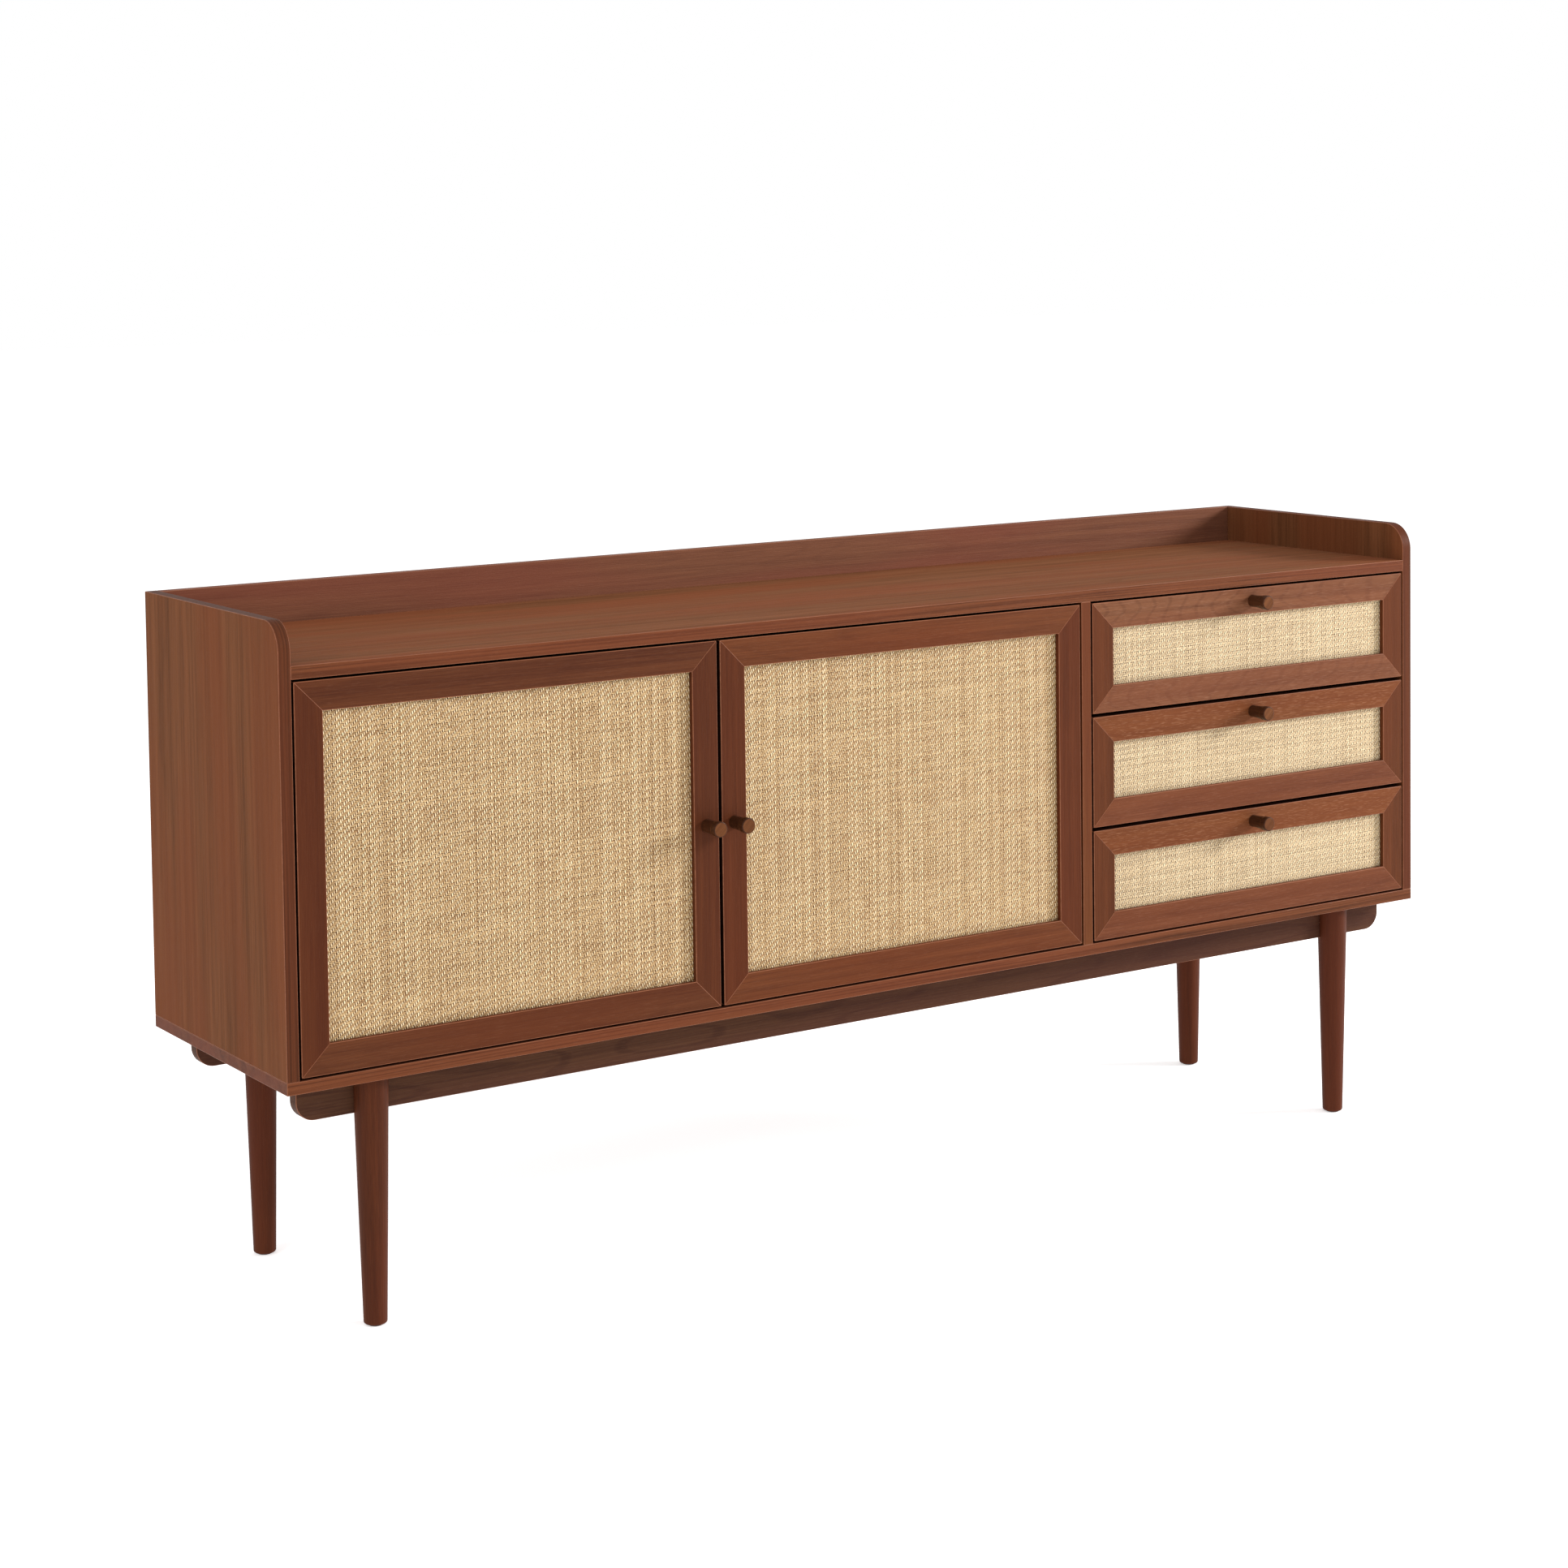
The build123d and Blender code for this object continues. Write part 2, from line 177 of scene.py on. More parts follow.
woodLook = {  # lengths run along the grain and widths across it, in metres
    "streakLength": 0.8,
    "streakWidth": 0.013,
    "fibreLength": 0.07,
    "fibreWidth": 0.0011,
    "veinLength": 0.45,
    "veinWidth": 0.0026,
    "poreLength": 0.013,
    "poreWidth": 0.0009,
    "patchLength": 0.5,
    "patchWidth": 0.075,
    "ringLength": 0.42,
    "ringWidth": 0.05,
    "ringCount": 46.0,
    "ringEdge": (0.55, 1.0),
    "archScale": (3.0, 24.0, 24.0),
    "archBend": 30.0,
    "sway": 0.007,                 # how far the grain wanders from straight
    "swayScale": (1.6, 9.0, 9.0),
    "contrast": (0.28, 0.74),      # of streaks and fibres: the closer the two, the harder the lines
    "veinContrast": (0.36, 0.62),
    "poreContrast": (0.54, 0.72),
    "patchContrast": (0.35, 0.65),
    "poreTint": 50,                # how much paler than the light grain the pores are
    "toneRange": 0.95,             # the grain's whole tone, which rings and veins take their share of
    "ringShare": 0.35,
    "veinShare": 0.6,
    "streakShare": 0.6,            # of what is left
    "fibreShare": 0.4,
    "roughness": 0.44,
    "shine": 0.12,
    "refraction": 1.3,
    "reliefDepth": 0.00012,
}

# dark and light are the grain's two colours, and warm is the tone that drifts across a board;
# rings, veins and pores say how strongly each shows, and gloss is 1 for plain satin
woods = {
    "sideVeneer": dict(grain="Z", dark=(77, 45, 25), light=(122, 75, 47), warm=(109, 57, 32),
                       rings=0.25, pores=0.10, seed=1.0, gloss=0.85),
    "topVeneer": dict(grain="X", dark=(88, 54, 32), light=(135, 86, 59), warm=(126, 67, 42),
                      rings=0.35, pores=0.12, seed=4.0, gloss=0.8),
    "railVeneer": dict(grain="X", dark=(90, 54, 41), light=(127, 82, 59), warm=(121, 65, 51),
                       rings=0.30, pores=0.12, seed=9.0),
    "boardWood": dict(grain="X", dark=(60, 32, 22), light=(112, 66, 46), warm=(104, 54, 36),
                      rings=0.55, pores=0.15, seed=13.0),
    "boardBand": dict(grain="X", dark=(58, 30, 16), light=(109, 62, 37), warm=(102, 51, 31),
                      rings=0.2, pores=0.2, seed=15.0, veins=1.0),
    "sideBand": dict(grain="Z", dark=(57, 30, 16), light=(92, 49, 28), warm=(85, 39, 22),
                     rings=0.1, pores=0.1, seed=16.0, veins=1.0, follow=(1, 0, 1)),
    "uprightVeneer": dict(grain="Z", dark=(69, 36, 19), light=(104, 59, 31), warm=(96, 47, 27),
                          rings=0.25, pores=0.10, seed=17.0),
    # the left door's stiles and rails are darker than the right door's and the drawers': partly the pieces'
    # own tone, partly painted shade, darker towards the left, away from the key lamp
    "leftDoorStile": dict(grain="Z", dark=(57, 25, 14), light=(88, 46, 24), warm=(76, 35, 18),
                          rings=0.20, pores=0.10, seed=21.0),
    "rightDoorStile": dict(grain="Z", dark=(61, 27, 12), light=(92, 47, 25), warm=(81, 37, 19),
                           rings=0.20, pores=0.10, seed=23.0),
    "drawerStile": dict(grain="Z", dark=(61, 30, 14), light=(95, 51, 27), warm=(85, 42, 21),
                        rings=0.20, pores=0.12, seed=25.0),
    "figuredRail": dict(grain="X", dark=(73, 41, 26), light=(120, 77, 52), warm=(105, 58, 38),
                        rings=0.6, pores=0.45, seed=33.0, arch=0.034),
    "leftDoorRail": dict(grain="X", dark=(61, 28, 16), light=(96, 54, 31), warm=(85, 40, 20),
                         rings=0.30, pores=0.20, seed=27.0),
    "rightDoorRail": dict(grain="X", dark=(69, 34, 19), light=(108, 60, 33), warm=(95, 45, 22),
                          rings=0.30, pores=0.20, seed=35.0),
    "drawerRail": dict(grain="X", dark=(73, 36, 22), light=(111, 64, 41), warm=(99, 53, 30),
                       rings=0.45, pores=0.30, seed=29.0),
    "drawerTopRail": dict(grain="X", dark=(74, 38, 20), light=(118, 71, 40), warm=(103, 52, 27),
                          rings=0.3, pores=0.9, seed=31.0),
    "apronWood": dict(grain="X", dark=(51, 27, 21), light=(85, 55, 37), warm=(68, 38, 30),
                      rings=0.80, pores=0.20, seed=37.0, veins=0.4),
    "legWood": dict(grain="Z", dark=(60, 29, 17), light=(90, 46, 26), warm=(80, 36, 22),
                    rings=0.25, pores=0.12, seed=41.0),
    "knobWood": dict(grain="Y", dark=(40, 20, 10), light=(74, 41, 23), warm=(58, 30, 15),
                     rings=0.1, pores=0.0, seed=47.0, gloss=1.25),
    "knobFace": dict(grain="slant", dark=(62, 32, 16), light=(112, 68, 38), warm=(88, 50, 27),
                     rings=0.1, pores=0.0, seed=49.0, veins=0.5),
    # painted highlight: this paler finish on eased edges and mitre lines stands for light caught on the
    # arris
    "paintedEdgeHighlight": dict(grain="X", dark=(104, 60, 40), light=(152, 98, 70), warm=(128, 76, 52),
                       rings=0.0, pores=0.1, seed=61.0, gloss=1.3),
    # painted shade: this near-black finish on a frame's outer faces stands for the shadow in the gap round
    # doors and drawers
    "paintedGapShade": dict(grain="X", dark=(20, 9, 6), light=(40, 20, 13), warm=(32, 15, 10),
                      rings=0.0, pores=0.0, seed=65.0),
    "innerVeneer": dict(grain="X", dark=(92, 52, 36), light=(138, 84, 58), warm=(124, 66, 46),
                        rings=0.2, pores=0.08, seed=53.0),
    "stainedPly": dict(grain="X", dark=(58, 32, 20), light=(92, 52, 34), warm=(74, 42, 28),
                       rings=0.3, pores=0.2, seed=59.0),
}
# the turns that bring each grain direction to X
alongX = {"X": (0, 0, 0), "Y": (0, 0, -math.pi / 2), "Z": (0, math.pi / 2, 0), "slant": (0, 0.8, 0)}


def grainPlace(tree, grain, seed, follow=(1, 1, 1)):  # follow: 0 for an axis the lines run round
    return tree.add("ShaderNodeMapping", {}, {
        "Vector": tree.spot(), "Location": (seed, seed * 0.37, seed * 0.61),
        "Rotation": alongX[grain], "Scale": follow})


def woodFinish(name, grain, dark, light, warm, rings, pores, seed, veins=0.15, arch=0.0,
               follow=(1, 1, 1), gloss=1.0):
    look = woodLook
    material, tree = newFinish(name)
    place = grainPlace(tree, grain, seed, follow)
    drift = tree.stretched(place, look["swayScale"], 1.0)
    swing = tree.vector("MULTIPLY", tree.vector("SUBTRACT", drift.other("Color"), (0.5, 0.5, 0.5)),
                        (0.0, look["sway"], look["sway"]))
    place = tree.vector("ADD", place, swing)

    def lines(kind, detail, roughness=0.55):
        length, width = look[kind + "Length"], look[kind + "Width"]
        return tree.stretched(place, (1 / length, 1 / width, 1 / width), detail, roughness)

    streaks = lines("streak", 4.0, 0.62).clamped(*look["contrast"])
    fibres = lines("fibre", 2.0).clamped(*look["contrast"])
    vein = lines("vein", 2.0).clamped(*look["veinContrast"])
    if arch:  # rings that cross the rail in arches this far apart
        bend = tree.stretched(place, look["archScale"], 0.5)
        rise = (bend * look["archBend"] + tree.split(place, "X") * (2 * math.pi / arch)).sine()
    else:
        rise = (lines("ring", 1.0) * look["ringCount"]).sine()
    figure = 1 - rise.clamped(*look["ringEdge"]) * (0.55 + streaks * 0.45)
    pore = lines("pore", 1.0).clamped(*look["poreContrast"])
    patch = lines("patch", 1.0).clamped(*look["patchContrast"])

    ringShare, veinShare = look["ringShare"] * rings, look["veinShare"] * veins
    plain = look["toneRange"] - ringShare - veinShare  # what rings and veins leave to the plain grain
    tone = streaks * (look["streakShare"] * plain) + fibres * (look["fibreShare"] * plain)
    tone = tone + figure * ringShare + vein * veinShare
    colour = tree.mix(tone, tint(*dark), tint(*light))
    colour = tree.mix(patch * 0.5, colour, tint(*warm))
    poreColour = tint(*[min(255, part + look["poreTint"]) for part in light])
    colour = tree.mix(pore * (0.28 * pores), colour, poreColour)
    relief = fibres * 0.55 + pore * -0.6 + streaks * 0.2
    roughness = (look["roughness"] + fibres * 0.09 + pore * 0.12) * (2 - gloss)
    shade(tree, colour, roughness, relief, look["reliefDepth"],
          {"Specular IOR Level": look["shine"] * (4 * gloss - 3), "IOR": look["refraction"]})
    return material


finishes = {name: woodFinish(name, **look) for name, look in woods.items()}
print("wood finishes ready:", len(finishes))


plyLook = {
    "layer": 0.0024,         # a pair of layers, in metres
    "fibreScale": (9.0, 340.0, 340.0),
    "cloudScale": (2.0, 14.0, 14.0),
    "grainTone": 0.86,       # the grain's colour as a share of the face's
    "reliefDepth": 0.00008,
}


def plyFinish(name, layersAcross, face, core, seed):  # layersAcross: the axis through the sheet
    look = plyLook
    material, tree = newFinish(name)
    place = grainPlace(tree, "X" if layersAcross == "Y" else "Y", seed)
    fibres = tree.stretched(place, look["fibreScale"], 3.0)
    cloud = tree.stretched(place, look["cloudScale"])
    veneer = tree.mix(fibres.clamped(0.3, 0.7) * 0.6 + cloud * 0.3, tint(*face),
                      tint(*[part * look["grainTone"] for part in face]))
    across = tree.split(tree.spot(), layersAcross)
    layer = (across * (2 * math.pi / look["layer"])).sine() > 0.1
    edge = tree.mix(layer, tint(*core), tint(*face))
    facing = tree.split(tree.add("ShaderNodeNewGeometry", output="Normal"), layersAcross)
    broad = (facing * facing) > 0.5  # the sheet's faces, as against its edges
    shade(tree, tree.mix(broad, edge, veneer), 0.46 + fibres * 0.12, fibres, look["reliefDepth"])
    return material


metalLook = {
    "zinc": (196, 198, 200),
    "brushScale": (900.0, 900.0, 30.0),
    "spangleScale": 140.0,
    "spangleTone": 0.82,     # the darker crystals, as a share of the plain colour
    "roughness": 0.32,
    "reliefDepth": 0.00003,
}


def metalFinish(name, colour):
    look = metalLook
    material, tree = newFinish(name)
    place = tree.spot()
    brush = tree.stretched(place, look["brushScale"], 3.0)
    spangle = tree.noise(place, scale=look["spangleScale"])
    base = tree.mix(brush.clamped(0.3, 0.7) * 0.4 + spangle * 0.3, tint(*colour),
                    tint(*[part * look["spangleTone"] for part in colour]))
    shade(tree, base, look["roughness"] + brush * 0.16, brush, look["reliefDepth"], {"Metallic": 1.0})
    return material


plasticLook = {
    "black": (26, 26, 27),
    "stippleTint": 16,       # how much paler the stipple's tops are
    "stippleScale": 1400.0,
    "reliefDepth": 0.00006,
}


def plasticFinish(name, colour):
    look = plasticLook
    material, tree = newFinish(name)
    stipple = tree.noise(tree.spot(), scale=look["stippleScale"])
    base = tree.mix(stipple.clamped(0.35, 0.65) * 0.5, tint(*colour),
                    tint(*[part + look["stippleTint"] for part in colour]))
    shade(tree, base, 0.44 + stipple * 0.14, stipple, look["reliefDepth"])
    return material


backLook = {
    "dark": (92, 56, 40),
    "light": (126, 80, 58),
    "speck": (70, 44, 32),
    "streakScale": (2.0, 70.0, 70.0),
    "speckScale": 900.0,
    "reliefDepth": 0.00005,
}


def backSheetFinish(name):
    look = backLook
    material, tree = newFinish(name)
    place = grainPlace(tree, "Z", 5.0)
    streak = tree.stretched(place, look["streakScale"], 4.0, 0.6)
    speck = tree.noise(place, scale=look["speckScale"])
    base = tree.mix(streak.clamped(0.3, 0.7), tint(*look["dark"]), tint(*look["light"]))
    base = tree.mix(speck.clamped(0.5, 0.8) * 0.3, base, tint(*look["speck"]))
    shade(tree, base, 0.6 + speck * 0.1, speck, look["reliefDepth"])
    return material


birch = {  # the axis through the sheet, face colour, core colour and seed of each box part
    "birchSide": ("X", (214, 180, 138), (150, 108, 72), 3.0),
    "birchBack": ("Y", (216, 182, 140), (150, 108, 72), 8.0),
    "birchFloor": ("Z", (218, 186, 146), (156, 114, 78), 11.0),
}
for name, values in birch.items():
    finishes[name] = plyFinish(name, *values)
finishes["zincSteel"] = metalFinish("zincSteel", metalLook["zinc"])
finishes["blackPlastic"] = plasticFinish("blackPlastic", plasticLook["black"])
finishes["backSheet"] = backSheetFinish("backSheet")


rattanLook = {
    "warpPitch": 0.00253,    # between upright strands
    "weftPitch": 0.00206,    # between lying strands
    "warpWidth": 0.00196,
    "weftWidth": 0.00184,
    "warpSwing": 0.00056,    # how far a strand goes in and out
    "weftSwing": 0.00028,
    "warpLean": 0.00034,     # how far it leans aside where it goes under
    "weftLean": 0.00010,
    "crown": 0.00046,        # how round its face is
    "slip": 0.00026,         # how unevenly the strands lie
    "wander": 0.00030,       # how far they drift from straight
    "wanderScale": (0.9, 0.035),  # from strand to strand, and from crossing to crossing
    "seed": 7,
    "seedStep": 3,           # from one panel to the next
    "lyingSeed": 50,         # added for the lying strands
    "pale": (250, 226, 183),
    "straw": (194, 161, 112),
    "tan": (134, 92, 50),
    # the colour of the painted shade on the strands' edges
    "flankShade": (76, 38, 14),
    "bleached": (200, 194, 170),
    "drawerWash": 0.20,      # how much paler the drawers' rattan is
    "cloudScale": 26.0,
    "strandScale": {"upright": (420.0, 420.0, 60.0), "lying": (60.0, 420.0, 420.0)},
    "fibreFiner": 8,         # fibres to one patch of colour
    "reliefDepth": 0.00005,
    "shine": 0.3,
    "border": 0.0006,        # kept free round the panel's edge
    "spread": (0.76, 1.14),  # the narrowest and widest strand, as shares of the width
}


def rattanFinish(name, turn, wash):
    look = rattanLook
    upright = turn == "upright"
    material, tree = newFinish(name)
    place = tree.spot()
    tone, lift, across = [tree.attribute(kept) for kept in ("tone", "lift", "across")]
    stretch = look["strandScale"][turn]
    patch = tree.stretched(place, stretch)
    cloud = tree.noise(place, scale=look["cloudScale"])
    fibre = tree.stretched(place, [look["fibreFiner"] * scale for scale in stretch])
    liftShading = lift.clamped(0.1, 0.9)
    # 0 is tan, 1 is pale: upright strands differ more; where a strand comes forward it is made paler as
    #                      painted highlight, and where it goes under it is made darker as painted shade
    share = patch.clamped(0.25, 0.75) * 0.30 + cloud * 0.08 + wash * 0.5
    if upright:
        share = share + (tone * (0.46 - wash) + liftShading * 0.70 - 0.34)
    else:
        share = share + (tone * 0.12 + liftShading * 0.36 - 0.30)
    stops = [(0.0, tint(*look["tan"])), (0.38, tint(*look["straw"])), (0.85, tint(*look["pale"]))]
    colour = tree.add("ShaderNodeValToRGB", {"stops": stops}, {"Fac": share})
    # painted shade along both edges of each strand, strongest on the upright ones, for the shade that falls
    # between strands
    paintedFlankShade = (across * across).clamped(0.14, 0.80) * (1.0 if upright else 0.6)
    colour = tree.mix(paintedFlankShade, colour, tint(*look["flankShade"]))
    colour = tree.mix(fibre.clamped(0.45, 0.8) * 0.22, colour, tint(*look["tan"]))
    colour = tree.mix(wash, colour, tint(*look["bleached"]))
    shade(tree, colour, 0.46 + fibre * 0.14, fibre, look["reliefDepth"],
          {"Specular IOR Level": look["shine"]})
    return material


for kind, wash in (("door", 0.0), ("drawer", rattanLook["drawerWash"])):
    for turn in ("upright", "lying"):
        finishes[kind + turn] = rattanFinish(kind + turn.capitalize() + "Rattan", turn, wash)


def strandTree():  # strands along Y, side by side along X, each going over and under its neighbours
    group = bpy.data.node_groups.new("wovenStrands", "GeometryNodeTree")
    face = group.interface
    tree = Tree(group)
    floats = ("Pitch", "Step", "Width", "Swing", "Lean", "Crown", "Slip", "Wander", "Lead", "Phase")
    inputs = {"Strands": "Int", "Steps": "Int", **dict.fromkeys(floats, "Float"),
              "Seed": "Int", "Finish": "Material"}
    for name, kind in inputs.items():
        face.new_socket(name, in_out="INPUT", socket_type="NodeSocket" + kind)
    face.new_socket("Mesh", in_out="OUTPUT", socket_type="NodeSocketGeometry")
    given = tree.add("NodeGroupInput")
    size = {name: given.other(name) for name in inputs}

    def stored(geometry, name, value):
        return tree.add("GeometryNodeStoreNamedAttribute", {"data_type": "FLOAT", "domain": "POINT"},
                        {"Geometry": geometry, "Name": name, "Value": value})

    def kept(name):
        return tree.add("GeometryNodeInputNamedAttribute", {"data_type": "FLOAT"}, {"Name": name})

    def chance(values):  # output 1 is the number, as 2 and 3 are its limits
        return tree.add("FunctionNodeRandomValue", {"data_type": "FLOAT"}, values, output=1)

    # the row of strand places, each with its number and its own tone
    row = tree.add("GeometryNodeMeshLine", {}, {
        "Count": size["Strands"], "Offset": tree.join(X=size["Pitch"])})
    row = stored(row, "strand", tree.add("GeometryNodeInputIndex"))
    row = stored(row, "tone", chance({"Seed": size["Seed"]}))

    # one flat strip, which remembers where across it each point is
    length = size["Step"] * size["Steps"]
    strip = tree.add("GeometryNodeMeshGrid", {}, {
        "Size X": size["Width"], "Size Y": length, "Vertices X": 3, "Vertices Y": size["Steps"] + 1})
    x = tree.split(tree.add("GeometryNodeInputPosition"), "X")
    strip = stored(strip, "across", x / size["Width"] * 2.0)
    strip = tree.add("GeometryNodeTransform", {}, {
        "Geometry": strip, "Translation": tree.join(Y=length * 0.5)})

    narrow, wide = rattanLook["spread"]
    spread = chance({2: narrow, 3: wide, "Seed": size["Seed"] + 1})
    strands = tree.add("GeometryNodeInstanceOnPoints", {}, {
        "Points": row, "Instance": strip, "Scale": tree.join(X=spread, Y=1.0, Z=1.0)})
    strands = tree.add("GeometryNodeRealizeInstances", {}, {"Geometry": strands})

    # over two and under two: a quarter turn of the wave at each crossing
    place = tree.add("GeometryNodeInputPosition")
    along = tree.split(place, "Y") / size["Step"]
    turned = (kept("strand") * size["Lead"] + along + size["Phase"]) * (math.pi / 2)
    wave = turned.sine()
    across = kept("across")
    height = wave * size["Swing"] * math.sqrt(2) + (1 - across * across) * size["Crown"]
    sideways, lengthways = rattanLook["wanderScale"]
    lane = tree.join(X=kept("strand") * sideways, Y=along * lengthways, Z=size["Seed"])
    aside = (tree.noise(lane, detail=1.0) - 0.5) * size["Wander"] * 2.0
    aside = aside + (kept("tone") - 0.5) * size["Slip"] * 2.0
    aside = aside + (turned + math.pi * 0.75).sine() * size["Lean"]
    strands = tree.add("GeometryNodeSetPosition", {}, {
        "Geometry": strands, "Offset": tree.join(X=aside, Z=height)})
    strands = stored(strands, "lift", wave * 0.5 + 0.5)
    strands = tree.add("GeometryNodeSetShadeSmooth", {}, {"Geometry": strands})
    strands = tree.add("GeometryNodeRealizeInstances", {}, {"Geometry": strands})
    strands = tree.add("GeometryNodeSetMaterial", {}, {"Geometry": strands, "Material": size["Finish"]})
    tree.add("NodeGroupOutput", {}, {0: strands})
    return group


def grown(name, group, values, turn):  # the tree's result as a plain mesh, turned into its place
    holder = bpy.data.objects.new(name + "Maker", bpy.data.meshes.new(name + "Maker"))
    scene.collection.objects.link(holder)
    modifier = holder.modifiers.new("strands", "NODES")
    modifier.node_group = group
    for socket in group.interface.items_tree:
        if socket.in_out == "INPUT" and socket.name in values:
            modifier[socket.identifier] = values[socket.name]
    ready = holder.evaluated_get(bpy.context.evaluated_depsgraph_get())
    mesh = bpy.data.meshes.new_from_object(ready)
    holder.modifiers.remove(modifier)
    bpy.data.objects.remove(holder)
    mesh.transform(turn)
    piece = bpy.data.objects.new(name, mesh)
    scene.collection.objects.link(piece)
    return piece


weave = strandTree()


def weavePanel(front, seed):
    look = rattanLook
    kind = "door" if front in doors else "drawer"
    node = front + "_rattan"
    low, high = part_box(node)
    edge = look["border"]
    wide, tall = high.x - low.x - 2 * edge, high.z - low.z - 2 * edge
    warps, wefts = round(wide / look["warpPitch"]), round(tall / look["weftPitch"])
    middle = (low.y + high.y) / 2
    shared = {"Crown": look["crown"], "Slip": look["slip"], "Wander": look["wander"]}
    upright = dict(shared, Strands=warps + 1, Steps=wefts, Pitch=wide / warps, Step=tall / wefts,
                   Width=look["warpWidth"], Swing=look["warpSwing"], Lean=look["warpLean"],
                   Lead=-1.0, Phase=0.5, Seed=seed, Finish=finishes[kind + "upright"])
    lying = dict(shared, Strands=wefts + 1, Steps=warps, Pitch=tall / wefts, Step=wide / warps,
                 Width=look["weftWidth"], Swing=look["weftSwing"], Lean=look["weftLean"],
                 Lead=1.0, Phase=2.5 - warps, Seed=seed + look["lyingSeed"],
                 Finish=finishes[kind + "lying"])
    # X, Y and Z of the strands' own space become these directions of the panel
    up = Matrix(((1, 0, 0, low.x + edge), (0, 0, -1, middle), (0, 1, 0, low.z + edge), (0, 0, 0, 1)))
    flat = Matrix(((0, -1, 0, high.x - edge), (0, 0, -1, middle), (1, 0, 0, low.z + edge), (0, 0, 0, 1)))
    for name, values, turn in (("_upright_strands", upright, up), ("_lying_strands", lying, flat)):
        piece = grown(front + name, weave, values, turn)
        piece.data.attributes.remove(piece.data.attributes["strand"])
        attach(piece, front)
        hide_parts(node)
        print(f"{piece.name}: {len(piece.data.polygons) * 2} triangles")


for number, front in enumerate(fronts):
    weavePanel(front, rattanLook["seed"] + rattanLook["seedStep"] * number)
print("rattan woven")


# wooden pieces are worked from the CAD solids, with eased edges of these widths
easing = {
    "board": 0.0007,
    "stick": 0.0008,
    "mitre": 0.0004,
    "leg": 0.0012,
    "knob": 0.0004,
    "box": 0.0008,
    "segments": 2,
    "mergeWithin": 2e-6,
    "flatWithin": math.radians(0.3),   # faces that meet at less than this are one face
    "sharpFrom": math.radians(25),
    "boreBend": (math.radians(-40), math.radians(-0.4)),  # between the facets of a hole's wall
    "bandDepth": 0.0001,     # how near the front a board's forward edge lies
    "rimDepth": 0.0005,      # how near its outline a frame's outer faces lie
    "inside": 0.0002,        # a step into the wood, off the face itself
    "normalWeight": 100,
}

pointing = {  # limits on a normal's or an edge's unit direction
    "forward": -0.9,         # a face that looks forward
    "knobEnd": -0.95,        # the flat end of a knob
    "upward": 0.02,          # a side's top edge, also where it is round
    "sideways": 0.3,
    "across": 0.1,           # a face square to the front
    "mitre": 0.05,           # how far from 45 degrees a mitre's edge may run
}


def boreRim(edge):  # an edge round a hole is left crisp
    for face in edge.link_faces:
        for side in face.edges:
            if side is not edge and len(side.link_faces) == 2:
                if easing["boreBend"][0] < side.calc_face_angle_signed(0.0) < easing["boreBend"][1]:
                    return True
    return False


def eased(name, bm, width, materials, mitre=None):  # the last material goes on the eased edges
    bmesh.ops.remove_doubles(bm, verts=bm.verts, dist=easing["mergeWithin"])
    bmesh.ops.dissolve_limit(bm, angle_limit=easing["flatWithin"], verts=bm.verts, edges=bm.edges)
    weight = bm.edges.layers.float.new("bevel_weight_edge")
    for face in bm.faces:
        face.smooth = True
    for edge in bm.edges:
        sharp = len(edge.link_faces) != 2 or edge.calc_face_angle(0.0) > easing["sharpFrom"]
        rounded = sharp and len(edge.link_faces) == 2 and edge.is_convex and not boreRim(edge)
        edge.smooth = rounded or not sharp
        if rounded:
            run = (edge.verts[1].co - edge.verts[0].co).normalized()
            slanted = max(abs(abs(run.x) - abs(run.z)), abs(run.y)) < pointing["mitre"]
            edge[weight] = mitre / width if mitre and slanted else 1.0
    mesh = bpy.data.meshes.new(name)
    bm.to_mesh(mesh)
    bm.free()
    for material in materials:
        mesh.materials.append(material)
    piece = bpy.data.objects.new(name, mesh)
    scene.collection.objects.link(piece)
    bevel = piece.modifiers.new("easedEdges", "BEVEL")
    bevel.material = len(materials) - 1
    bevel.limit_method = "WEIGHT"
    bevel.width = width
    bevel.segments = easing["segments"]
    bevel.use_clamp_overlap = False
    flat = piece.modifiers.new("flatFaces", "WEIGHTED_NORMAL")
    flat.keep_sharp = True
    flat.weight = easing["normalWeight"]
    return piece


def solid(node):  # the node's shape, free to be worked
    bm = bmesh.new()
    bm.from_mesh(nodes[node].data)
    bm.normal_update()
    return bm


def work(node, finish, width, slot, band=None):  # band: the finish of the edge that faces forward
    bm = solid(node)
    if band:
        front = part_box(node)[0].y + easing["bandDepth"]
        for face in bm.faces:
            normal = face.normal
            forward = normal.y < pointing["forward"] and face.calc_center_median().y < front
            upright = abs(normal.x) < pointing["sideways"] and normal.z > pointing["upward"]
            upward = band == "sideBand" and upright
            face.material_index = int(forward or upward)
    # walnut pieces get the painted highlight finish on their eased edges
    edge = "paintedEdgeHighlight" if slot in ("walnut_veneer", "solid_walnut") else finish
    piece = eased(node + "_worked", bm, width, [finishes[name] for name in (finish, band, edge) if name])
    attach(piece, nodes[node]["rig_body"])
    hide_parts(node)


